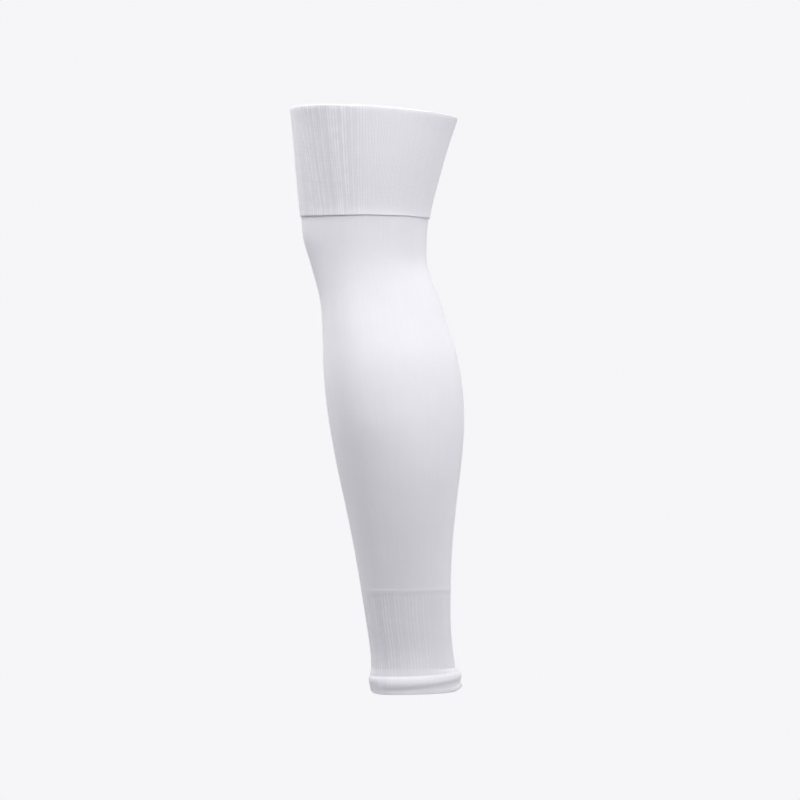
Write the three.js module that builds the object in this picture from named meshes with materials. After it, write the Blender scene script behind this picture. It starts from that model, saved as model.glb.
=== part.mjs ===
// Footless football sock: a knitted sleeve for the lower leg, in the form that it takes when it is worn.
// Millimetres, +Z up the leg, shin towards -X, calf towards +X, and both sides alike about the XZ plane.
// The origin is the centre of the ankle opening.

import * as THREE from "three";

// Knit thicknesses and ribs
const KNIT = 1.5;
const CUFF_SLOT = 0.3;
const CUFF_LEAF = 1.1;
const CUFF_RIBS = 156;
const ANKLE_RIBS = 78;
const RIB_RELIEF = 0.35;

// The outer leaf of the turned-down cuff flares a little to a rounded edge
const FLARE = 0.3;
const FLARE_HEIGHT = 9;
const EDGE_ROUND = 0.5;

// Heights on the leg's axis
const RIM = 501.7;
const CUFF_JOIN = 426;
const CUFF_HEM = 409.6;
const RIB_TOP = 87;
const HEM_TOP = 19.6;

// The rim dips at the shin and the calf, and the knit close below follows it
const RIM_DIP = 1.8;
const RIM_DIP_REACH = 12;

// How closely the kneecap, and the hem's sizes at the shin and the calf, keep to those places
const KNEECAP_POWER = 8;
const END_POWER = 4;
const CORNER_POWER = 12;

// Gap where two pieces meet, and points round a smooth ring
const GAP = 0.3;
const AROUND = 52;

// White yarns, all matt
const CUFF_WHITE = 0xf0f0f3;
const LEG_WHITE = 0xf4f4f6;
const ANKLE_WHITE = 0xeeeef1;
const HEM_WHITE = 0xf2f2f4;
const YARN_ROUGHNESS = 0.9;

// The hollow of the sleeve, which is the leg's own form, one section to a row.
// Millimetres, tilt in degrees (calf side up), fullness widens the calf side, kneecap stands out at the shin.
const SECTIONS = [
  // height, axis_x, tilt, half_depth, half_width, fullness, kneecap
  [0.0, 0.0, 0.0, 35.7, 32.0, 0.0, 0.0], // ankle opening
  [17.7, -0.7, 0.5, 35.0, 31.4, 0.0, 0.0], // top of the rolled hem
  [34.6, -2.3, 0.9, 34.2, 31.2, 0.0, 0.0], // narrowest, above the ankle bones
  [56.7, -4.7, 1.2, 34.9, 32.8, 0.01, 0.0], // middle of the ankle rib
  [87.0, -7.1, 1.3, 37.2, 36.0, 0.01, 0.0], // top of the ankle rib
  [121.7, -9.5, 1.2, 40.7, 40.8, 0.02, 0.0], // lower shin
  [156.3, -11.3, 1.0, 45.8, 46.0, 0.02, 0.0], // middle of the shin
  [195.3, -13.2, 0.9, 52.3, 51.0, 0.0, 0.0], // foot of the calf muscle
  [229.9, -15.0, 0.8, 56.7, 53.6, -0.06, 0.0], // lower calf
  [260.2, -17.7, 0.8, 58.0, 53.8, -0.08, 0.0], // fullest part of the calf
  [286.2, -20.6, 0.4, 56.8, 52.8, -0.08, 0.0], // upper calf
  [312.2, -24.7, 0.0, 53.3, 50.4, -0.06, 0.0], // head of the calf muscle
  [338.2, -29.4, 0.0, 49.7, 47.8, -0.01, 1.0], // head of the shin bone
  [369.5, -35.8, 0.0, 45.4, 46.2, 0.06, 7.0], // hollow of the knee
  [390.1, -37.2, -0.7, 46.2, 46.9, 0.08, 11.0], // kneecap
  [412.0, -37.2, -1.1, 48.2, 49.0, 0.08, 11.0], // hem of the cuff
  [459.4, -36.2, -2.8, 58.7, 56.8, 0.06, 6.0], // middle of the cuff
  [501.7, -34.2, -3.7, 69.2, 64.4, 0.01, 1.5], // rim
];

// The rolled hem from its foot up the outside and down the inside, as distances out from the hollow.
// A row's height is its height at the sides. It rises or falls towards the shin and the calf, and is drawn up
// by its corner lifts close to them.
const HEM_PROFILE = [
  // height, shin_rise, calf_rise, shin_corner, calf_corner, out_at_shin, out_at_side, out_at_calf
  [-1.3, -0.7, 1.3, 1.9, 4.0, 1.5, 2.84, 5.2], // foot
  [0.0, -0.9, 1.5, 1.6, 3.3, 2.0, 3.04, 5.85], // edge of the lip
  [2.0, -1.3, 2.7, 1.0, 1.9, 2.2, 3.0, 4.85], // top of the lip
  [3.7, -1.5, 4.3, 0.3, 0.8, 2.4, 3.15, 4.6], // crease between the lip and the roll
  [5.7, -1.7, 4.3, 0.0, 0.4, 2.65, 3.61, 5.1], // underside of the roll
  [7.4, -1.8, 3.4, 0.0, 0.3, 2.95, 3.82, 5.45], // fullest part of the roll at the sides
  [9.0, -1.6, 2.8, 0.0, 0.1, 3.4, 3.76, 5.7], // belly of the roll
  [10.8, -1.4, 2.2, 0.0, 0.0, 3.75, 3.42, 5.8], // fullest part of the roll at the shin and the calf
  [12.4, -1.0, 2.0, 0.0, 0.0, 3.6, 2.92, 5.6], // crown of the roll
  [13.5, -0.8, 2.0, 0.0, 0.0, 3.0, 2.44, 5.0], // upper side of the roll
  [15.4, -0.8, 1.7, 0.0, 0.0, 2.35, 1.9, 3.7], // ledge over the roll
  [17.0, -0.6, 1.2, 0.0, 0.0, 2.1, 1.73, 3.1], // shoulder
  [HEM_TOP - GAP / 2, 0.0, 0.0, 0.0, 0.0, KNIT, KNIT, KNIT], // neck, flush with the ankle rib
  [HEM_TOP - GAP / 2, 0.0, 0.0, 0.0, 0.0, 0.0, 0.0, 0.0], // inside of the neck
  [10.3, -1.2, 2.6, 0.0, 0.0, 0.0, 0.2, 0.4], // inside of the roll
  [4.0, -2.0, 3.0, 0.5, 1.2, 0.0, 0.6, 1.4], // inside of the lip
  [0.2, -1.1, 1.3, 1.2, 2.6, 0.3, 1.2, 2.6], // inside of the foot
];

const columns = SECTIONS[0].length - 1;
const legForm = new THREE.CubicInterpolant(
  SECTIONS.map(([height]) => height),
  SECTIONS.flatMap(([, ...values]) => values),
  columns,
  new Float64Array(columns),
);

// A point of a wall, from its height on the leg's axis, its turn about the axis (0 at the calf, half at the
// shin) and its distance out from the hollow
function pointOnLeg(height, turn, out) {
  const [axisX, tilt, halfDepth, halfWidth, fullness, kneecap] = legForm.evaluate(height);
  const calfward = Math.cos(2 * Math.PI * turn);
  const sideward = Math.sin(2 * Math.PI * turn);
  const lean = THREE.MathUtils.degToRad(tilt);
  const reach = (halfDepth + out) * calfward - kneecap * Math.max(0, -calfward) ** KNEECAP_POWER;
  const dip = RIM_DIP * Math.exp(-(((height - RIM) / RIM_DIP_REACH) ** 2)) * calfward ** 2;
  return new THREE.Vector3(
    axisX + reach * Math.cos(lean),
    (halfWidth * (1 + fullness * calfward) + out) * sideward,
    height + reach * Math.sin(lean) - dip,
  );
}

// One even ring of a wall. With ribs, it has a point on each crest and one in each groove.
function ring({ height, out, ribs = 0 }) {
  const count = ribs ? 2 * ribs : AROUND;
  return Array.from({ length: count }, (_, i) => {
    const crest = ribs && i % 2 === 0 ? RIB_RELIEF : 0;
    return pointOnLeg(height, i / count, out + crest);
  });
}

// Rings at equal steps from one height and distance out to another, with both ends
function rings(from, to, { steps, ribs = 0 }) {
  return Array.from({ length: steps + 1 }, (_, i) => ring({
    height: THREE.MathUtils.lerp(from.height, to.height, i / steps),
    out: THREE.MathUtils.lerp(from.out, to.out, i / steps),
    ribs,
  }));
}

// One ring of the rolled hem, from a row of its profile
function hemRing([height, shinRise, calfRise, shinCorner, calfCorner, shinOut, sideOut, calfOut]) {
  const slant = (calfRise - shinRise) / 2;
  const bow = (calfRise + shinRise) / 2;
  return Array.from({ length: AROUND }, (_, i) => {
    const turn = i / AROUND;
    const calfward = Math.cos(2 * Math.PI * turn);
    const corner = calfward > 0 ? calfCorner : shinCorner;
    const endOut = calfward > 0 ? calfOut : shinOut;
    const out = THREE.MathUtils.lerp(sideOut, endOut, calfward ** END_POWER);
    const point = pointOnLeg(height, turn, out);
    point.z += slant * calfward + bow * calfward ** 2 + corner * calfward ** CORNER_POWER;
    return point;
  });
}

// Triangles between two rings of any counts, which face away from the leg where the second is above the first
function stitch(first, firstCount, second, secondCount) {
  const triangles = [];
  let i = 0;
  let j = 0;
  while (i < firstCount || j < secondCount) {
    const a = first + (i % firstCount);
    const b = second + (j % secondCount);
    if ((i + 1) / firstCount <= (j + 1) / secondCount) {
      i += 1;
      triangles.push(a, first + (i % firstCount), b);
    } else {
      j += 1;
      triangles.push(a, second + (j % secondCount), b);
    }
  }
  return triangles;
}

// A closed wall through a loop of rings that goes up its outside, in over its top and down its inside
function wall(loop) {
  const starts = [];
  let total = 0;
  for (const { length } of loop) {
    starts.push(total);
    total += length;
  }
  const triangles = loop.flatMap((points, k) => {
    const next = (k + 1) % loop.length;
    return stitch(starts[k], points.length, starts[next], loop[next].length);
  });
  const geometry = new THREE.BufferGeometry().setFromPoints(loop.flat());
  geometry.setIndex(triangles);
  geometry.computeVertexNormals();
  return geometry;
}

function topCuff() {
  const back = KNIT + CUFF_SLOT;
  const face = back + CUFF_LEAF;
  const foldRadius = face / 2;
  const foldFoot = RIM - foldRadius;
  const slotTop = foldFoot - KNIT;
  const joinFoot = CUFF_JOIN + GAP / 2;
  const edgeTop = CUFF_HEM + EDGE_ROUND;
  const flareTop = CUFF_HEM + FLARE_HEIGHT;
  const foldAngles = [0.25, 0.5, 0.75].map((share) => share * Math.PI);
  return wall([
    ring({ height: CUFF_HEM, out: face - CUFF_LEAF / 2 }),
    ring({ height: edgeTop, out: face + FLARE, ribs: CUFF_RIBS }),
    ...rings({ height: flareTop, out: face }, { height: foldFoot, out: face }, { steps: 3, ribs: CUFF_RIBS }),
    ...foldAngles.map((angle) => ring({
      height: foldFoot + foldRadius * Math.sin(angle),
      out: foldRadius + foldRadius * Math.cos(angle),
    })),
    ...rings({ height: foldFoot, out: 0 }, { height: joinFoot, out: 0 }, { steps: 3 }),
    ...rings({ height: joinFoot, out: KNIT }, { height: slotTop, out: KNIT }, { steps: 3 }),
    ...rings({ height: slotTop, out: back }, { height: edgeTop, out: back }, { steps: 4 }),
  ]);
}

function legTube() {
  const foot = RIB_TOP + GAP / 2;
  const top = CUFF_JOIN - GAP / 2;
  return wall([
    ...rings({ height: foot, out: KNIT }, { height: top, out: KNIT }, { steps: 18 }),
    ...rings({ height: top, out: 0 }, { height: foot, out: 0 }, { steps: 9 }),
  ]);
}

function ankleRib() {
  const foot = HEM_TOP + GAP / 2;
  const top = RIB_TOP - GAP / 2;
  const groove = KNIT - RIB_RELIEF / 2;
  return wall([
    ...rings({ height: foot, out: groove }, { height: top, out: groove }, { steps: 4, ribs: ANKLE_RIBS }),
    ...rings({ height: top, out: 0 }, { height: foot, out: 0 }, { steps: 4 }),
  ]);
}

function rolledHem() {
  return wall(HEM_PROFILE.map(hemRing));
}

function piece(name, geometry, color) {
  const material = new THREE.MeshStandardMaterial({ color, roughness: YARN_ROUGHNESS, metalness: 0 });
  const mesh = new THREE.Mesh(geometry, material);
  mesh.name = name;
  return mesh;
}

const sock = new THREE.Group();
sock.add(
  piece("top_cuff", topCuff(), CUFF_WHITE),
  piece("leg_tube", legTube(), LEG_WHITE),
  piece("ankle_rib", ankleRib(), ANKLE_WHITE),
  piece("rolled_hem", rolledHem(), HEM_WHITE),
);

export default sock;
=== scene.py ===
"""Footless football sock, worn form: knitted walls, rib relief, yarn finishes, plain studio and camera."""
import math

import bpy
import numpy as np
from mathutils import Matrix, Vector


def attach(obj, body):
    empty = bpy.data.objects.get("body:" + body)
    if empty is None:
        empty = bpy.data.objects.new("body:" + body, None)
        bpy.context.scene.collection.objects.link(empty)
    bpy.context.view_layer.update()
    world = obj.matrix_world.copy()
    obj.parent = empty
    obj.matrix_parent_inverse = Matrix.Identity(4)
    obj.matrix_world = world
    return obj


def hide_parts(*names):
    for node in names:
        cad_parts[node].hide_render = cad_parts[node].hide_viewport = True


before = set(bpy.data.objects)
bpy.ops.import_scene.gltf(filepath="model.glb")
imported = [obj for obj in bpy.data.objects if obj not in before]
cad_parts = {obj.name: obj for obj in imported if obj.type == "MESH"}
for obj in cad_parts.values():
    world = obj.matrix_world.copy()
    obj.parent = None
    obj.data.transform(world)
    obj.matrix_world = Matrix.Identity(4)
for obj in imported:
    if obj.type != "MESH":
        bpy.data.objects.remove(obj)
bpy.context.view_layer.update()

MM = 0.001
SEED = 7

# Knit thicknesses and heights on the leg's axis, in millimetres
KNIT = 1.5
CUFF_SLOT = 0.3
CUFF_LEAF = 1.1
RIM = 501.7
CUFF_JOIN = 426.0
CUFF_HEM = 409.6
RIB_TOP = 87.0
HEM_TOP = 19.6
SEAM_GAP = 0.03

# The cuff's free edge flares over a swell of the leg. Their sizes are at the shin, the sides and the calf.
EDGE_LEAF = np.array([1.0, 0.5, 1.2])
EDGE_ROUND = 0.25
FLARE_HEIGHT = 9.0
LEG_SWELL = np.array([0.2, 1.3, 0.3])
SWELL_BELOW = 40.0
SWELL_ABOVE = 7.0

# The turned-down outer leaf of the cuff: where its back and its face lie, and its edge's back and top
LEAF_BACK = KNIT + CUFF_SLOT
LEAF_FACE = LEAF_BACK + CUFF_LEAF
EDGE_BACK = KNIT + LEG_SWELL + SEAM_GAP
EDGE_TOP = CUFF_HEM + EDGE_ROUND

# The rim: the leaf leans in to a fold with a tight outer crease and a round inner shoulder
FOLD_LEAN = 0.3
FOLD_LEAN_HEIGHT = 3.5
FOLD_CREASE = 0.3
FOLD_SHOULDER = 2.2

# Uneven edges of the cuff: height, reach up and down, size, dip at the shin and the calf, and seed.
# Each is a sum of waves whose sizes are drawn from a range.
RIM_EDGE = (RIM, 12.0, 0.5, 1.8, 1)
HEM_EDGE = (CUFF_HEM, 7.0, 0.4, 0.0, 2)
RIPPLE_WAVES = 9
RIPPLE_SIZES = (0.4, 1.0)

# The faint ledge over the ankle rib: its size at the shin, sides and calf, and where it begins and dies away
RIB_LEDGE = np.array([0.03, 0.09, 0.14])
LEDGE_ABOVE = 2.2
LEDGE_HEIGHT = 1.2
LEDGE_FADE = 20.0

# Ribs round the cuff and the ankle, and wales (columns of loops) round the whole tube
CUFF_RIBS = 156
ANKLE_RIBS = 78
WALES = 312

# Rib relief, its share on the cuff's inner leaf, the share lost at the crown of the fold, and the heights
# over which it fades out at the top of the ankle and at the seam over the hem
CUFF_RELIEF = 0.35
ANKLE_RELIEF = 0.3
HEM_RELIEF = 0.2
INNER_LEAF_SHARE = 0.65
CROWN_LOSS = 0.9
RIB_FADE = 3.0
SEAM_FADE = 0.8

# The ribs show most at the shin: the share of the relief left on the calf's half, and the two places from
# the side (0) to the shin (1) between which it falls to that share
CUFF_SHOWS = (0.15, 0.0, 0.45)
ANKLE_SHOWS = (0.35, 0.15, 0.6)
HEM_SHOWS = (0.1, 0.3, 0.8)

# Points round each wall, steps between the rows of its profile, and rows down the slot behind the cuff
CUFF_POINTS = 7 * CUFF_RIBS
LEG_POINTS = 240
ANKLE_POINTS = 10 * ANKLE_RIBS
HEM_POINTS = 6 * ANKLE_RIBS
EDGE_STEPS = 4
FLARE_STEPS = 14
LEAF_STEPS = 23
LEAN_STEPS = 6
FOLD_STEPS = 16
INNER_LEAF_STEPS = 12
LEG_STEPS = 168
LEG_INNER_STEPS = 49
LEDGE_STEPS = 17
ANKLE_STEPS = 59
ANKLE_INNER_STEPS = 11
HEM_STEPS = 5
SLOT_ROWS = 5

# Edges sharper than this many degrees aren't smoothed over, and how closely the values given for the shin
# and the calf keep to them
SHARP_EDGE = 62.0
END_POWER = 4
CORNER_POWER = 12
KNEECAP_POWER = 8

# The hollow of the sleeve, which is the leg's own form, one section to a row.
# Millimetres, tilt in degrees (calf side up), fullness widens the calf side, kneecap stands out at the shin.
SECTIONS = np.array([
    # height, axis_x, tilt, half_depth, half_width, fullness, kneecap
    [0.0, 0.0, 0.0, 35.7, 32.0, 0.0, 0.0],
    [17.7, -0.7, 0.5, 35.0, 31.4, 0.0, 0.0],
    [34.6, -2.3, 0.9, 34.2, 31.2, 0.0, 0.0],
    [56.7, -4.7, 1.2, 34.9, 32.8, 0.01, 0.0],
    [87.0, -7.1, 1.3, 37.2, 36.0, 0.01, 0.0],
    [121.7, -9.5, 1.2, 40.7, 40.8, 0.02, 0.0],
    [156.3, -11.3, 1.0, 45.8, 46.0, 0.02, 0.0],
    [195.3, -13.2, 0.9, 52.3, 51.0, 0.0, 0.0],
    [229.9, -15.0, 0.8, 56.7, 53.6, -0.06, 0.0],
    [260.2, -17.7, 0.8, 58.0, 53.8, -0.08, 0.0],
    [286.2, -20.6, 0.4, 56.8, 52.8, -0.08, 0.0],
    [312.2, -24.7, 0.0, 53.3, 50.4, -0.06, 0.0],
    [338.2, -29.4, 0.0, 49.7, 47.8, -0.01, 1.0],
    [369.5, -35.8, 0.0, 45.4, 46.2, 0.06, 7.0],
    [390.1, -37.2, -0.7, 46.2, 46.9, 0.08, 11.0],
    [412.0, -37.2, -1.1, 48.2, 49.0, 0.08, 11.0],
    [459.4, -36.2, -2.8, 58.7, 56.8, 0.06, 6.0],
    [501.7, -34.2, -3.7, 69.2, 64.4, 0.01, 1.5],
])

# The rolled hem from its foot up the outside and down the inside, as distances out from the hollow.
# A row's height is its height at the sides. It rises or falls towards the shin and the calf, and is drawn up
# by its corner lifts close to them.
HEM_PROFILE = np.array([
    # height, shin_rise, calf_rise, shin_corner, calf_corner, out_at_shin, out_at_side, out_at_calf
    [-1.3, -0.7, 1.3, 1.9, 4.0, 1.5, 2.84, 5.2],
    [-1.1, -0.7, 1.3, 1.9, 3.9, 1.8, 3.0, 5.7],
    [0.0, -0.9, 1.5, 1.6, 3.3, 2.0, 3.04, 5.85],
    [1.1, -1.1, 2.0, 1.4, 2.5, 2.1, 3.02, 5.5],
    [2.0, -1.3, 2.7, 1.0, 1.9, 2.2, 3.0, 4.85],
    [2.9, -1.4, 3.6, 0.6, 1.3, 2.3, 3.04, 4.55],
    [3.7, -1.5, 4.3, 0.3, 0.8, 2.4, 3.15, 4.6],
    [4.6, -1.6, 4.7, 0.1, 0.5, 2.5, 3.35, 4.8],
    [5.7, -1.7, 4.3, 0.0, 0.4, 2.65, 3.61, 5.1],
    [7.4, -1.8, 3.4, 0.0, 0.3, 2.95, 3.82, 5.45],
    [9.0, -1.6, 2.8, 0.0, 0.1, 3.4, 3.76, 5.7],
    [10.8, -1.4, 2.2, 0.0, 0.0, 3.75, 3.42, 5.8],
    [12.4, -1.0, 2.0, 0.0, 0.0, 3.6, 2.92, 5.6],
    [13.5, -0.8, 2.0, 0.0, 0.0, 3.0, 2.44, 5.0],
    [14.5, -0.8, 1.9, 0.0, 0.0, 2.5, 2.02, 4.3],
    [15.4, -0.8, 1.7, 0.0, 0.0, 2.35, 1.9, 3.7],
    [17.0, -0.6, 1.2, 0.0, 0.0, 2.1, 1.73, 3.1],
    [18.6, -0.2, 0.5, 0.0, 0.0, 1.7, 1.57, 2.2],
    [HEM_TOP - SEAM_GAP, 0.0, 0.0, 0.0, 0.0, KNIT, KNIT, KNIT],
    [HEM_TOP - SEAM_GAP, 0.0, 0.0, 0.0, 0.0, 0.0, 0.0, 0.0],
    [10.3, -1.2, 2.6, 0.0, 0.0, 0.0, 0.2, 0.4],
    [4.0, -2.0, 3.0, 0.5, 1.2, 0.0, 0.6, 1.4],
    [0.2, -1.1, 1.3, 1.2, 2.6, 0.3, 1.2, 2.6],
])
HEM_HEIGHT, HEM_SIDE_OUT = 0, 6

# Columns of the other walls' rows: height, out at shin, side and calf, and rib relief
ROW_HEIGHT, ROW_SIDE_OUT, ROW_RELIEF = 0, 2, 4


# Curves

def smooth_step(p):
    p = np.clip(p, 0, 1)
    return p * p * (3 - 2 * p)


def steps(start, end, count):
    """Values after start and up to end, at equal steps."""
    return np.linspace(start, end, count + 1)[1:]


def smooth_span(a, b, leave, arrive, p):
    """The cubic from a to b with the given slopes at its ends, at the share p of the way."""
    return a + p * p * (3 - 2 * p) * (b - a) + p * (1 - p) ** 2 * leave + p * p * (p - 1) * arrive


def smooth_loop(points, corners, per_span):
    """A closed curve through the points, smooth but for its corners, with per_span steps between points."""
    before = np.roll(points, 1, axis=0)
    after = np.roll(points, -1, axis=0)
    slopes = (after - before) / 2
    leave = np.where(corners[:, None], after - points, slopes)
    arrive = np.roll(np.where(corners[:, None], points - before, slopes), -1, axis=0)
    p = (np.arange(per_span) / per_span)[None, :, None]
    curve = smooth_span(points[:, None], after[:, None], leave[:, None], arrive[:, None], p)
    return curve.reshape(-1, points.shape[1])


# Form of the leg

def section_slopes():
    """Slope of each column at each section: the mean of the slopes on its two sides."""
    slopes = np.diff(SECTIONS[:, 1:], axis=0) / np.diff(SECTIONS[:, :1], axis=0)
    inner = (slopes[1:] + slopes[:-1]) / 2
    first = 1.5 * slopes[:1] - 0.5 * inner[:1]
    last = 1.5 * slopes[-1:] - 0.5 * inner[-1:]
    return np.concatenate([first, inner, last])


SECTION_SLOPES = section_slopes()


def leg_section(height):
    """The section's columns at any height, smoothly joined between the rows."""
    heights = SECTIONS[:, 0]
    height = min(max(height, heights[0]), heights[-1])
    i = min(int(np.searchsorted(heights, height, side="right")) - 1, len(heights) - 2)
    span = heights[i + 1] - heights[i]
    leave, arrive = SECTION_SLOPES[i:i + 2] * span
    return smooth_span(SECTIONS[i, 1:], SECTIONS[i + 1, 1:], leave, arrive, (height - heights[i]) / span)


def turns_round(count):
    """Turns about the leg: 0 is the calf, a half the shin."""
    return np.arange(count) / count


def points_on_leg(height, turns, out):
    """Points in millimetres round the leg, out from its hollow."""
    axis_x, tilt, half_depth, half_width, fullness, kneecap = leg_section(height)
    calfward = np.cos(2 * np.pi * turns)
    sideward = np.sin(2 * np.pi * turns)
    lean = math.radians(tilt)
    reach = (half_depth + out) * calfward - kneecap * np.clip(-calfward, 0, None) ** KNEECAP_POWER
    return np.stack([
        axis_x + reach * math.cos(lean),
        (half_width * (1 + fullness * calfward) + out) * sideward,
        height + reach * math.sin(lean),
    ], axis=-1)


def between(turns, shin, side, calf):
    """A value round the leg that has given sizes at the shin, at both sides and at the calf."""
    calfward = np.cos(2 * np.pi * turns)
    at_calf = np.clip(calfward, 0, None) ** END_POWER
    at_shin = np.clip(-calfward, 0, None) ** END_POWER
    return side + (calf - side) * at_calf + (shin - side) * at_shin


def shin_half(turns, calf_share, start, end):
    """A share that is 1 at the shin, and falls between two places to the given share on the calf's half."""
    shinward = -np.cos(2 * np.pi * turns)
    return calf_share + (1 - calf_share) * smooth_step((shinward - start) / (end - start))


def unevenness(turns, seed):
    """A smooth, seeded ripple round the leg, between about -1 and 1."""
    draw = np.random.default_rng(SEED + seed)
    counts = np.arange(2, 2 + RIPPLE_WAVES)
    sizes = draw.uniform(*RIPPLE_SIZES, RIPPLE_WAVES) / np.sqrt(counts)
    shifts = draw.uniform(0, 2 * np.pi, RIPPLE_WAVES)
    ripple = (sizes * np.cos(2 * np.pi * counts * turns[:, None] + shifts)).sum(axis=1)
    return ripple / sizes.sum()


# Profiles of the walls

def even_row(height, out, relief=0.0):
    """A row that stands equally far out all round."""
    return [height, out, out, out, relief]


def outer_leaf_rows():
    """The cuff's free outer leaf, whose edge rests on the leg's swell, so it flares where that is large."""
    edge_face = EDGE_BACK + EDGE_LEAF
    flare_top = CUFF_HEM + FLARE_HEIGHT
    lean_foot = RIM - FOLD_CREASE - FOLD_LEAN_HEIGHT
    rows = []
    for angle in np.linspace(-np.pi / 2, 0, EDGE_STEPS + 1):
        out = edge_face - EDGE_ROUND * (1 - math.cos(angle))
        rows.append([EDGE_TOP + EDGE_ROUND * math.sin(angle), *out, 1.0 + angle / np.pi])
    for share in steps(0, 1, FLARE_STEPS):
        out = LEAF_FACE + (edge_face - LEAF_FACE) * (1 - share) ** 2
        rows.append([EDGE_TOP + share * (flare_top - EDGE_TOP), *out, 1.0])
    rows += [even_row(height, LEAF_FACE, 1.0) for height in steps(flare_top, lean_foot, LEAF_STEPS)]
    for share in steps(0, 1, LEAN_STEPS):
        rows.append(even_row(lean_foot + share * FOLD_LEAN_HEIGHT, LEAF_FACE - FOLD_LEAN * share ** 2, 1.0))
    return rows


def fold_rows():
    """The fold at the rim, from the outer leaf over to the inner leaf."""
    half = (LEAF_FACE - FOLD_LEAN) / 2
    rows = []
    for angle in steps(0, np.pi, FOLD_STEPS):
        crown = FOLD_CREASE if angle < np.pi / 2 else FOLD_SHOULDER
        relief = 1.0 - CROWN_LOSS * math.sin(angle)
        rows.append(even_row(RIM - crown * (1 - math.sin(angle)), half + half * math.cos(angle), relief))
    return rows


def inner_leaf_rows():
    """The inner leaf down to its join, and the slot between the leaves, up and back to the free edge."""
    top = RIM - FOLD_SHOULDER
    slot_top = top - KNIT
    foot = CUFF_JOIN + SEAM_GAP
    rows = [even_row(height, 0.0, INNER_LEAF_SHARE) for height in steps(top, foot, INNER_LEAF_STEPS)]
    rows += [even_row(height, KNIT) for height in np.linspace(foot, slot_top, SLOT_ROWS)]
    rows += [even_row(height, LEAF_BACK) for height in np.linspace(slot_top, CUFF_JOIN, SLOT_ROWS + 1)]
    rows.append([EDGE_TOP, *EDGE_BACK, 0.0])
    return rows


def cuff_rows():
    return np.array(outer_leaf_rows() + fold_rows() + inner_leaf_rows())


def leg_rows():
    """The plain leg: it swells up to the cuff's edge, and has a faint ledge where the ankle rib begins."""
    foot = RIB_TOP
    top = CUFF_JOIN - SEAM_GAP
    over_ledge = foot + LEDGE_ABOVE + LEDGE_HEIGHT
    heights = [foot, *steps(foot, over_ledge, LEDGE_STEPS), *steps(over_ledge, top, LEG_STEPS)]
    rows = []
    for height in heights:
        ledge = RIB_LEDGE * smooth_step((foot + LEDGE_ABOVE - height) / LEDGE_HEIGHT + 0.5)
        reach = SWELL_BELOW if height < CUFF_HEM else SWELL_ABOVE
        swell = LEG_SWELL * math.exp(-((height - CUFF_HEM) / reach) ** 2)
        rows.append([height, *(KNIT + ledge + swell), 0.0])
    rows += [even_row(height, 0.0) for height in np.linspace(top, foot, LEG_INNER_STEPS + 1)]
    return np.array(rows)


def ankle_rows():
    """The ribbed ankle, whose ribs rise from the plain knit above it and from the seam below it."""
    foot = HEM_TOP
    top = RIB_TOP - SEAM_GAP
    rows = []
    for height in np.linspace(foot, top, ANKLE_STEPS + 1):
        relief = np.clip(min((height - foot) / SEAM_FADE, (top - height) / RIB_FADE), 0, 1)
        ledge = RIB_LEDGE * smooth_step(1 - (top - height) / LEDGE_FADE)
        rows.append([height, *(KNIT - ANKLE_RELIEF / 2 * relief + ledge), relief])
    rows += [even_row(height, 0.0) for height in np.linspace(top, foot, ANKLE_INNER_STEPS + 1)]
    return np.array(rows)


def hem_rows():
    """Rows of the rolled hem, smooth between those of its profile but for the corners of its neck."""
    heights = HEM_PROFILE[:, HEM_HEIGHT]
    return smooth_loop(HEM_PROFILE, heights == heights.max(), HEM_STEPS)


def hem_relief(rows):
    """Rib relief of the hem's rows: all over its outside, but for the seam."""
    outside = np.clip(2 * rows[:, HEM_SIDE_OUT] / KNIT - 1, 0, 1)
    below_seam = np.clip((HEM_TOP - SEAM_GAP - rows[:, HEM_HEIGHT]) / SEAM_FADE, 0, 1)
    return outside * below_seam


# Knitted walls

def rings_on_leg(rows, turns, edges=()):
    """Rings from a wall's rows, and its uneven edges."""
    rings = np.array([points_on_leg(height, turns, between(turns, *outs)) for height, *outs, _ in rows])
    for height, reach, size, dip, seed in edges:
        near = np.exp(-((rows[:, ROW_HEIGHT] - height) / reach) ** 2)
        rise = size * unevenness(turns, seed) - dip * np.cos(2 * np.pi * turns) ** 2
        rings[:, :, 2] += near[:, None] * rise
    return rings


def hem_rings(rows, turns):
    """Rings of the rolled hem, with their rises towards the shin and the calf."""
    calfward = np.cos(2 * np.pi * turns)
    rings = []
    for height, shin_rise, calf_rise, shin_corner, calf_corner, *outs in rows:
        slant = (calf_rise - shin_rise) / 2
        bow = (calf_rise + shin_rise) / 2
        corner = np.where(calfward > 0, calf_corner, shin_corner)
        ring = points_on_leg(height, turns, between(turns, *outs))
        ring[:, 2] += slant * calfward + bow * calfward ** 2 + corner * calfward ** CORNER_POWER
        rings.append(ring)
    return np.array(rings)


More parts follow.
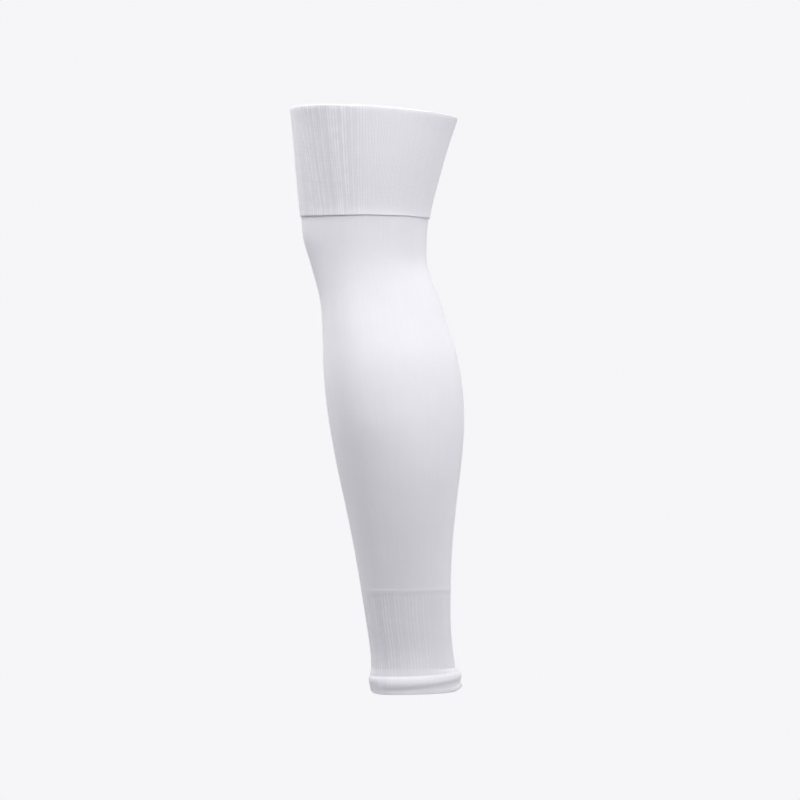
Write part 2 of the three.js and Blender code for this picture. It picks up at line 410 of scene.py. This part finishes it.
def knitted_wall(name, rings, relief, side_outs):
    """A closed wall through rings that go up its outside, over its top and down its inside.

    It carries the UV map "knit" (turn, metres along the knit) and the attributes turn, relief and inside,
    which grows to 1 where a ring lies close to the hollow.
    """
    row_count, around, _ = rings.shape
    mesh = bpy.data.meshes.new(name)
    mesh.from_pydata((rings.reshape(-1, 3) * MM).tolist(), [], wall_faces(row_count, around).tolist())
    inside = np.clip(1 - 2 * side_outs / KNIT, 0, 1)
    add_attribute(mesh, "turn", np.tile(turns_round(around), row_count))
    add_attribute(mesh, "relief", np.broadcast_to(relief, (row_count, around)).ravel())
    add_attribute(mesh, "inside", np.repeat(inside, around))
    lengths = np.linalg.norm(np.roll(rings, -1, axis=0) - rings, axis=-1).mean(axis=1)
    along = np.concatenate([[0], np.cumsum(lengths)]) * MM
    mesh.uv_layers.new(name="knit").data.foreach_set("uv", wall_uvs(along, around).ravel())
    mesh.polygons.foreach_set("use_smooth", np.ones(len(mesh.polygons), bool))
    mesh.set_sharp_from_angle(angle=math.radians(SHARP_EDGE))
    mesh.update()
    return add_object(name, mesh)


def wall_faces(row_count, around):
    """Quads between each row and the next, the last row closing on the first."""
    k, i = np.meshgrid(np.arange(row_count), np.arange(around), indexing="ij")
    above = (k + 1) % row_count
    beside = (i + 1) % around
    quads = [k * around + i, k * around + beside, above * around + beside, above * around + i]
    return np.stack(quads, axis=-1).reshape(-1, 4)


def wall_uvs(along, around):
    """UV corners of the same quads: the turn runs on to 1 at the seam."""
    row_count = len(along) - 1
    k, i = np.meshgrid(np.arange(row_count), np.arange(around), indexing="ij")
    corners = [(i, k), (i + 1, k), (i + 1, k + 1), (i, k + 1)]
    uvs = [np.stack([turn / around, along[row]], axis=-1) for turn, row in corners]
    return np.stack(uvs, axis=2).astype(np.float32)


def add_attribute(mesh, name, values):
    mesh.attributes.new(name, "FLOAT", "POINT").data.foreach_set("value", values.astype(np.float32))


def add_object(name, mesh):
    made = bpy.data.objects.new(name, mesh)
    bpy.context.scene.collection.objects.link(made)
    return made


# Nodes

def node(tree, kind, **settings):
    made = tree.nodes.new(kind)
    for key, value in settings.items():
        setattr(made, key, value)
    return made


def feed(tree, socket, value):
    """Links a socket to another node's output, or sets its plain value."""
    if isinstance(value, bpy.types.NodeSocket):
        tree.links.new(value, socket)
    else:
        socket.default_value = value


def maths(tree, operation, *values):
    made = node(tree, "ShaderNodeMath", operation=operation)
    for socket, value in zip(made.inputs, values):
        feed(tree, socket, value)
    return made.outputs[0]


def map_range(tree, value, from_range=(0.0, 1.0), to_range=(0.0, 1.0), **settings):
    made = node(tree, "ShaderNodeMapRange", **settings)
    for label, plain in zip(("From Min", "From Max", "To Min", "To Max"), (*from_range, *to_range)):
        made.inputs[label].default_value = plain
    feed(tree, made.inputs["Value"], value)
    return made.outputs["Result"]


def noise(tree, scale, detail=2.0, vector=None, **settings):
    made = node(tree, "ShaderNodeTexNoise", **settings)
    made.inputs["Scale"].default_value = scale
    made.inputs["Detail"].default_value = detail
    if vector is not None:
        feed(tree, made.inputs["Vector"], vector)
    return made.outputs["Fac"]


# Rib relief, raised by Geometry Nodes

# Waviness of the ribs and patches where they are faint, in waves to a metre, and the noise values between
# which a patch sets in
DRIFT_SCALE = 30.0
PATCH_SCALE = 130.0
PATCH_RANGE = (0.35, 0.65)

# The ribs' mean height, at which no shade or highlight is painted on them: higher crests are painted
# lighter, lower grooves darker
MEAN_CREST = 0.25

# The rib tree's numbers, and those of them that all ribbed pieces share
RIB_INPUTS = ("Rib Count", "Rib Height", "Crest Roundness", "Unevenness", "Patchiness", "Wander", "Seed")
RIB_LOOKS = {"crest_roundness": 0.8, "unevenness": 0.8, "patchiness": 0.5, "wander": 0.35}


def wall_attribute(tree, name):
    read = node(tree, "GeometryNodeInputNamedAttribute", data_type="FLOAT")
    read.inputs["Name"].default_value = name
    return read.outputs["Attribute"]


def rib_place(tree, given):
    """The place round the wall, counted in ribs, with a little wander."""
    drift = maths(tree, "SUBTRACT", noise(tree, DRIFT_SCALE), 0.5)
    shift = maths(tree, "MULTIPLY", drift, given["Wander"])
    return maths(tree, "MULTIPLY_ADD", wall_attribute(tree, "turn"), given["Rib Count"], shift)


def rib_crest(tree, given, place):
    """Height across a rib, from 0 in the narrow groove to 1 on the rounded crest."""
    wave = maths(tree, "COSINE", maths(tree, "MULTIPLY", place, 2 * math.pi))
    return maths(tree, "POWER", maths(tree, "MULTIPLY_ADD", wave, 0.5, 0.5), given["Crest Roundness"])


def rib_strength(tree, given, place):
    """The share of its height that a rib keeps: no two are alike, and all have faint patches."""
    which = maths(tree, "MODULO", maths(tree, "ROUND", place), given["Rib Count"])
    draw = node(tree, "ShaderNodeTexWhiteNoise", noise_dimensions="1D")
    feed(tree, draw.inputs["W"], maths(tree, "ADD", which, given["Seed"]))
    loss = maths(tree, "MULTIPLY", draw.outputs["Value"], given["Unevenness"])
    patches = map_range(tree, noise(tree, PATCH_SCALE), PATCH_RANGE)
    faint = maths(tree, "MULTIPLY", patches, given["Patchiness"])
    return maths(tree, "MULTIPLY", maths(tree, "SUBTRACT", 1.0, loss), maths(tree, "SUBTRACT", 1.0, faint))


def rib_tree():
    """Ribs along the wales of a knitted wall.

    It stores the attribute groove, above 0 in the grooves and below 0 on the crests, from which the yarn
    paints shade and highlight.
    """
    tree = bpy.data.node_groups.new("knit_ribs", "GeometryNodeTree")
    tree.interface.new_socket("Wall", in_out="INPUT", socket_type="NodeSocketGeometry")
    for label in RIB_INPUTS:
        tree.interface.new_socket(label, in_out="INPUT", socket_type="NodeSocketFloat")
    tree.interface.new_socket("Yarn", in_out="INPUT", socket_type="NodeSocketMaterial")
    tree.interface.new_socket("Wall", in_out="OUTPUT", socket_type="NodeSocketGeometry")
    given = node(tree, "NodeGroupInput").outputs
    relief = wall_attribute(tree, "relief")
    place = rib_place(tree, given)
    strength = maths(tree, "MULTIPLY", rib_strength(tree, given, place), relief)
    raised = maths(tree, "MULTIPLY", rib_crest(tree, given, place), strength)

    keep = node(tree, "GeometryNodeStoreNamedAttribute", data_type="FLOAT", domain="POINT")
    keep.inputs["Name"].default_value = "groove"
    feed(tree, keep.inputs["Geometry"], given["Wall"])
    level = maths(tree, "MULTIPLY", relief, MEAN_CREST)
    feed(tree, keep.inputs["Value"], maths(tree, "SUBTRACT", level, raised))
    offset = node(tree, "ShaderNodeVectorMath", operation="SCALE")
    feed(tree, offset.inputs["Vector"], node(tree, "GeometryNodeInputNormal").outputs["Normal"])
    feed(tree, offset.inputs["Scale"], maths(tree, "MULTIPLY", raised, given["Rib Height"]))
    lift = node(tree, "GeometryNodeSetPosition")
    feed(tree, lift.inputs["Geometry"], keep.outputs["Geometry"])
    feed(tree, lift.inputs["Offset"], offset.outputs["Vector"])
    whole = node(tree, "GeometryNodeRealizeInstances")
    feed(tree, whole.inputs["Geometry"], lift.outputs["Geometry"])
    dressed = node(tree, "GeometryNodeSetMaterial")
    feed(tree, dressed.inputs["Geometry"], whole.outputs["Geometry"])
    feed(tree, dressed.inputs["Material"], given["Yarn"])
    feed(tree, node(tree, "NodeGroupOutput").inputs["Wall"], dressed.outputs["Geometry"])
    return tree


def raise_ribs(wall, tree, **inputs):
    """Runs the rib tree on a wall with the named inputs, and keeps the result as its plain mesh."""
    modifier = wall.modifiers.new("ribs", "NODES")
    modifier.node_group = tree
    sockets = {item.name: item.identifier for item in tree.interface.items_tree if item.in_out == "INPUT"}
    for label, value in {**RIB_LOOKS, **inputs}.items():
        modifier[sockets[label.replace("_", " ").title()]] = value
    graph = bpy.context.evaluated_depsgraph_get()
    ribbed = wall.evaluated_get(graph)
    mesh = bpy.data.meshes.new_from_object(ribbed, preserve_all_data_layers=True, depsgraph=graph)
    plain = wall.data
    wall.modifiers.clear()
    wall.data = mesh
    mesh.name = wall.name
    bpy.data.meshes.remove(plain)


# Yarn finishes

WHITE = (0.83, 0.822, 0.862)
CUFF_WHITE = (0.812, 0.804, 0.843)
# A darker copy of the yarn colour, painted as shade in the gaps between the yarns
SHADE_BETWEEN_YARNS = (0.66, 0.655, 0.7)
YARN_SURFACE = {"Roughness": 0.88, "Specular IOR Level": 0.25, "Sheen Weight": 0.12, "Sheen Roughness": 0.5}

# Loops: how far their legs slant, in courses, how fuzzy the yarn is, how much of a leg's roundness shows,
# how strongly shade is painted into the places between the yarns, and how strongly the bump shows
LOOP_SLANT = 0.9
YARN_FUZZ = 0.25
LEG_ROUNDNESS = 0.6
GAP_PAINTED_SHADE = 0.5
BUMP_STRENGTH = 0.6

# Streaks to a turn and to a metre along the knit, clouds and fibres to a metre, the share of the streaks in
# the tone, and the range of tones with the range by which they scale the colour
STREAKS_ROUND = 150.0
STREAKS_ALONG = 14.0
CLOUD_SCALE = 60.0
FIBRE_SCALE = 2600.0
TONE_DETAIL = 3.0
STREAK_SHARE = 0.6
TONE_RANGE = (0.3, 0.7)
TONE_SCALE = (0.975, 1.0)

# Painted shade down the rib grooves (with a painted highlight on the crests) and on the knit's inner side
CUFF_SHADE = 0.25
ANKLE_SHADE = 0.2
HEM_SHADE = 0.15
INNER_SHADE = 0.55


def loop_height(tree, given, place):
    """Height across the two slanting legs of each loop, from 0 between the yarns to 1."""
    across = maths(tree, "FRACT", maths(tree, "MULTIPLY", place["X"], given["Wales"]))
    side = maths(tree, "ABSOLUTE", maths(tree, "SUBTRACT", across, 0.5))
    course = maths(tree, "DIVIDE", place["Y"], given["Course Pitch"])
    leg = maths(tree, "FRACT", maths(tree, "MULTIPLY_ADD", side, given["Slant"], course))
    round_leg = maths(tree, "SINE", maths(tree, "MULTIPLY", leg, math.pi))
    round_side = maths(tree, "SINE", maths(tree, "MULTIPLY", side, 2 * math.pi))
    shown_leg = maths(tree, "MULTIPLY_ADD", round_leg, LEG_ROUNDNESS, 1 - LEG_ROUNDNESS)
    return maths(tree, "MULTIPLY", round_side, shown_leg)


def faint_tone(tree, place, on_object):
    """Streaks along the wales, mixed with soft clouds."""
    stretch = node(tree, "ShaderNodeCombineXYZ")
    feed(tree, stretch.inputs["X"], maths(tree, "MULTIPLY", place["X"], STREAKS_ROUND))
    feed(tree, stretch.inputs["Y"], maths(tree, "MULTIPLY", place["Y"], STREAKS_ALONG))
    streaks = noise(tree, 1.0, TONE_DETAIL, stretch.outputs["Vector"], noise_dimensions="2D")
    clouds = noise(tree, CLOUD_SCALE, TONE_DETAIL, on_object)
    streak_tone = maths(tree, "MULTIPLY", streaks, STREAK_SHARE)
    return maths(tree, "MULTIPLY_ADD", clouds, 1 - STREAK_SHARE, streak_tone)


def knit_group():
    """Columns of V-shaped knitted loops: their height, the gaps between the yarns, and a faint tone."""
    tree = bpy.data.node_groups.new("knitted_loops", "ShaderNodeTree")
    for label in ("Wales", "Course Pitch", "Slant", "Fuzz"):
        tree.interface.new_socket(label, in_out="INPUT", socket_type="NodeSocketFloat")
    for label in ("Height", "Gap", "Tone"):
        tree.interface.new_socket(label, in_out="OUTPUT", socket_type="NodeSocketFloat")
    given = node(tree, "NodeGroupInput").outputs
    place = node(tree, "ShaderNodeSeparateXYZ")
    feed(tree, place.inputs[0], node(tree, "ShaderNodeUVMap", uv_map="knit").outputs["UV"])
    on_object = node(tree, "ShaderNodeTexCoord").outputs["Object"]
    loops = loop_height(tree, given, place.outputs)
    fibres = maths(tree, "MULTIPLY", noise(tree, FIBRE_SCALE, vector=on_object), given["Fuzz"])
    result = node(tree, "NodeGroupOutput")
    feed(tree, result.inputs["Height"], maths(tree, "ADD", loops, fibres))
    feed(tree, result.inputs["Gap"], maths(tree, "SUBTRACT", 1.0, loops))
    feed(tree, result.inputs["Tone"], faint_tone(tree, place.outputs, on_object))
    return tree


def yarn_colour(tree, knit, colour, rib_shade):
    """The yarn's colour, with shade painted between the yarns, down the rib grooves and inside, a highlight
    painted on the rib crests, and faint streaks.
    """
    # Painted shade in the gaps between the yarns
    shaded_gaps = node(tree, "ShaderNodeMix", data_type="RGBA")
    feed(tree, shaded_gaps.inputs["Factor"], maths(tree, "MULTIPLY", knit["Gap"], GAP_PAINTED_SHADE))
    shaded_gaps.inputs["A"].default_value = (*colour, 1)
    shaded_gaps.inputs["B"].default_value = (*SHADE_BETWEEN_YARNS, 1)
    # Painted shade on the knit's inner side, in the hollow of the tube
    inside = node(tree, "ShaderNodeAttribute", attribute_name="inside").outputs["Fac"]
    inner = map_range(tree, inside, to_range=(1.0, INNER_SHADE))
    tone = maths(tree, "MULTIPLY", map_range(tree, knit["Tone"], TONE_RANGE, TONE_SCALE), inner)
    # Painted shade in the rib grooves and a painted highlight on the rib crests
    if rib_shade:
        groove = node(tree, "ShaderNodeAttribute", attribute_name="groove").outputs["Fac"]
        tone = maths(tree, "MULTIPLY", tone, maths(tree, "MULTIPLY_ADD", groove, -rib_shade, 1.0))
    toned = node(tree, "ShaderNodeVectorMath", operation="SCALE")
    feed(tree, toned.inputs["Vector"], shaded_gaps.outputs["Result"])
    feed(tree, toned.inputs["Scale"], tone)
    return toned.outputs["Vector"]


def yarn(name, loops, colour, course_pitch, loop_depth, wales=WALES, rib_shade=0.0):
    """A white knit with its loops as bump. Pitch and depth of the loops are in millimetres."""
    material = bpy.data.materials.new(name)
    material.use_nodes = True
    tree = material.node_tree
    shader = tree.nodes["Principled BSDF"]
    for label, value in YARN_SURFACE.items():
        shader.inputs[label].default_value = value
    knit = node(tree, "ShaderNodeGroup", node_tree=loops)
    knit.inputs["Wales"].default_value = wales
    knit.inputs["Course Pitch"].default_value = course_pitch * MM
    knit.inputs["Slant"].default_value = LOOP_SLANT
    knit.inputs["Fuzz"].default_value = YARN_FUZZ
    feed(tree, shader.inputs["Base Color"], yarn_colour(tree, knit.outputs, colour, rib_shade))
    bump = node(tree, "ShaderNodeBump")
    bump.inputs["Strength"].default_value = BUMP_STRENGTH
    bump.inputs["Distance"].default_value = loop_depth * MM
    feed(tree, bump.inputs["Height"], knit.outputs["Height"])
    feed(tree, shader.inputs["Normal"], bump.outputs["Normal"])
    return material


# Studio and camera, in metres, and the sensor in millimetres

PHOTO_SIDE = 800
PIXEL = 0.866 * MM
ORIGIN_PIXEL = (414.3, 690.5)
CAMERA_DISTANCE = 3.6
CAMERA_REACH = 60.0
SENSOR = 36.0

BACKDROP = (0.921, 0.916, 0.935, 1)
FLOOR_PAINT = (0.86, 0.86, 0.87, 1)
FLOOR_BOUNCE = (0.4, 0.4, 0.42, 1)
FLOOR_HEIGHT = -0.15
FLOOR_RADIUS = 9.0
FLOOR_SIDES = 96
FLOOR_FADE = (0.15, 0.55)

LIGHT_SIZE = 1.0
LIGHT_AIM = (-0.02, 0, 0.27)
LIGHTS = (
    # name, place, watts
    ("overhead", (-0.5, -0.3, 1.7), 21.3),
    ("close_top", (-0.1, -0.35, 1.15), 4.8),
    ("high_front", (0, -1.2, 1.6), 11.3),
    ("high_right", (0.9, -0.9, 1.7), 19.8),
    ("left_rim", (-1.3, 1.3, 0.6), 13.5),
    ("right_rim", (1.3, 1.3, 0.6), 9.9),
    ("low_left", (-1.3, -0.5, -0.05), 4.2),
    ("right_side", (1.8, 0, 0.2), 7.9),
)


def photo_camera():
    """Level camera, square on to the side of the leg, framed on the photograph's middle."""
    data = bpy.data.cameras.new("camera")
    data.sensor_width = SENSOR
    data.lens = SENSOR * CAMERA_DISTANCE / (PHOTO_SIDE * PIXEL)
    data.clip_end = CAMERA_REACH
    camera = bpy.data.objects.new("camera", data)
    middle_x = (PHOTO_SIDE / 2 - ORIGIN_PIXEL[0]) * PIXEL
    middle_z = (ORIGIN_PIXEL[1] - PHOTO_SIDE / 2) * PIXEL
    camera.location = (middle_x, -CAMERA_DISTANCE, middle_z)
    camera.rotation_euler = (math.pi / 2, 0, 0)
    bpy.context.scene.collection.objects.link(camera)
    bpy.context.scene.camera = camera


def soft_light(name, place, watts):
    data = bpy.data.lights.new(name, "AREA")
    data.shape = "DISK"
    data.size = LIGHT_SIZE
    data.energy = watts
    light = bpy.data.objects.new(name, data)
    light.location = place
    light.rotation_euler = (Vector(LIGHT_AIM) - Vector(place)).to_track_quat("-Z", "Y").to_euler()
    bpy.context.scene.collection.objects.link(light)


def backdrop():
    """An even pale backdrop, which sheds no light on the sock."""
    world = bpy.data.worlds.new("studio")
    world.use_nodes = True
    tree = world.node_tree
    background = tree.nodes["Background"]
    background.inputs["Color"].default_value = BACKDROP
    feed(tree, background.inputs["Strength"], node(tree, "ShaderNodeLightPath").outputs["Is Camera Ray"])
    bpy.context.scene.world = world


def floor_paint():
    """Pale paint that fades into the backdrop away from the sock, and bounces less light than it shows."""
    material = bpy.data.materials.new("floor_paint")
    material.use_nodes = True
    tree = material.node_tree
    tree.nodes.clear()
    flat = node(tree, "ShaderNodeVectorMath", operation="MULTIPLY")
    feed(tree, flat.inputs[0], node(tree, "ShaderNodeTexCoord").outputs["Object"])
    flat.inputs[1].default_value = (1, 1, 0)
    reach = node(tree, "ShaderNodeVectorMath", operation="LENGTH")
    feed(tree, reach.inputs[0], flat.outputs["Vector"])
    fade = map_range(tree, reach.outputs["Value"], FLOOR_FADE, interpolation_type="SMOOTHSTEP")
    paint = node(tree, "ShaderNodeBsdfDiffuse")
    paint.inputs["Color"].default_value = FLOOR_PAINT
    glow = node(tree, "ShaderNodeEmission")
    glow.inputs["Color"].default_value = BACKDROP
    seen = mix_shaders(tree, fade, paint.outputs["BSDF"], glow.outputs["Emission"])
    bounce = node(tree, "ShaderNodeBsdfDiffuse")
    bounce.inputs["Color"].default_value = FLOOR_BOUNCE
    by_camera = node(tree, "ShaderNodeLightPath").outputs["Is Camera Ray"]
    surface = mix_shaders(tree, by_camera, bounce.outputs["BSDF"], seen)
    feed(tree, node(tree, "ShaderNodeOutputMaterial").inputs["Surface"], surface)
    return material


def mix_shaders(tree, share, first, second):
    mix = node(tree, "ShaderNodeMixShader")
    feed(tree, mix.inputs["Fac"], share)
    feed(tree, mix.inputs[1], first)
    feed(tree, mix.inputs[2], second)
    return mix.outputs["Shader"]


def pale_floor():
    turns = 2 * np.pi * turns_round(FLOOR_SIDES)
    heights = np.full(FLOOR_SIDES, FLOOR_HEIGHT)
    rim = np.stack([FLOOR_RADIUS * np.cos(turns), FLOOR_RADIUS * np.sin(turns), heights], axis=-1)
    mesh = bpy.data.meshes.new("floor")
    mesh.from_pydata(rim.tolist(), [], [list(range(FLOOR_SIDES))])
    mesh.materials.append(floor_paint())
    add_object("floor", mesh)


def studio():
    bpy.context.scene.view_settings.view_transform = "Standard"
    backdrop()
    pale_floor()
    for light in LIGHTS:
        soft_light(*light)


# The sock

def make_cuff(ribs, loops):
    rows = cuff_rows()
    turns = turns_round(CUFF_POINTS)
    rings = rings_on_leg(rows, turns, (RIM_EDGE, HEM_EDGE))
    relief = rows[:, ROW_RELIEF:] * shin_half(turns, *CUFF_SHOWS)
    cuff = knitted_wall("cuff_knit", rings, relief, rows[:, ROW_SIDE_OUT])
    finish = yarn("cuff_rib_yarn", loops, CUFF_WHITE, course_pitch=1.1, loop_depth=0.25, wales=CUFF_RIBS,
                  rib_shade=CUFF_SHADE)
    raise_ribs(cuff, ribs, rib_count=CUFF_RIBS, rib_height=CUFF_RELIEF * MM, seed=SEED, yarn=finish)
    return cuff


def make_leg(loops):
    rows = leg_rows()
    rings = rings_on_leg(rows, turns_round(LEG_POINTS))
    leg = knitted_wall("leg_knit", rings, rows[:, ROW_RELIEF:], rows[:, ROW_SIDE_OUT])
    leg.data.materials.append(yarn("leg_plain_yarn", loops, WHITE, course_pitch=0.9, loop_depth=0.16))
    return leg


def make_ankle(ribs, loops):
    rows = ankle_rows()
    turns = turns_round(ANKLE_POINTS)
    relief = rows[:, ROW_RELIEF:] * shin_half(turns, *ANKLE_SHOWS)
    ankle = knitted_wall("ankle_knit", rings_on_leg(rows, turns), relief, rows[:, ROW_SIDE_OUT])
    finish = yarn("ankle_rib_yarn", loops, WHITE, course_pitch=1.0, loop_depth=0.22, rib_shade=ANKLE_SHADE)
    raise_ribs(ankle, ribs, rib_count=ANKLE_RIBS, rib_height=ANKLE_RELIEF * MM, seed=SEED + 1, yarn=finish)
    return ankle


def make_hem(ribs, loops):
    """The rolled hem, with the ankle's own ribs running on through it."""
    rows = hem_rows()
    turns = turns_round(HEM_POINTS)
    relief = hem_relief(rows)[:, None] * shin_half(turns, *HEM_SHOWS)
    hem = knitted_wall("hem_knit", hem_rings(rows, turns), relief, rows[:, HEM_SIDE_OUT])
    finish = yarn("hem_plain_yarn", loops, WHITE, course_pitch=0.9, loop_depth=0.2, rib_shade=HEM_SHADE)
    raise_ribs(hem, ribs, rib_count=ANKLE_RIBS, rib_height=HEM_RELIEF * MM, seed=SEED + 1, yarn=finish)
    return hem


def dress():
    """Makes the four knitted pieces, attaches each to the root and hides the part it stands for. Each is
    listed with its slot and its flat size in metres.
    """
    ribs = rib_tree()
    loops = knit_group()
    for piece, stands_for, slot, flat in (
        (make_cuff(ribs, loops), "top_cuff", "cuff_rib_knit", (0.33, 0.17)),
        (make_leg(loops), "leg_tube", "leg_plain_knit", (0.25, 0.34)),
        (make_ankle(ribs, loops), "ankle_rib", "ankle_rib_knit", (0.19, 0.066)),
        (make_hem(ribs, loops), "rolled_hem", "hem_plain_knit", (0.2, 0.03)),
    ):
        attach(piece, "root")
        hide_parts(stands_for)


photo_camera()
studio()
dress()
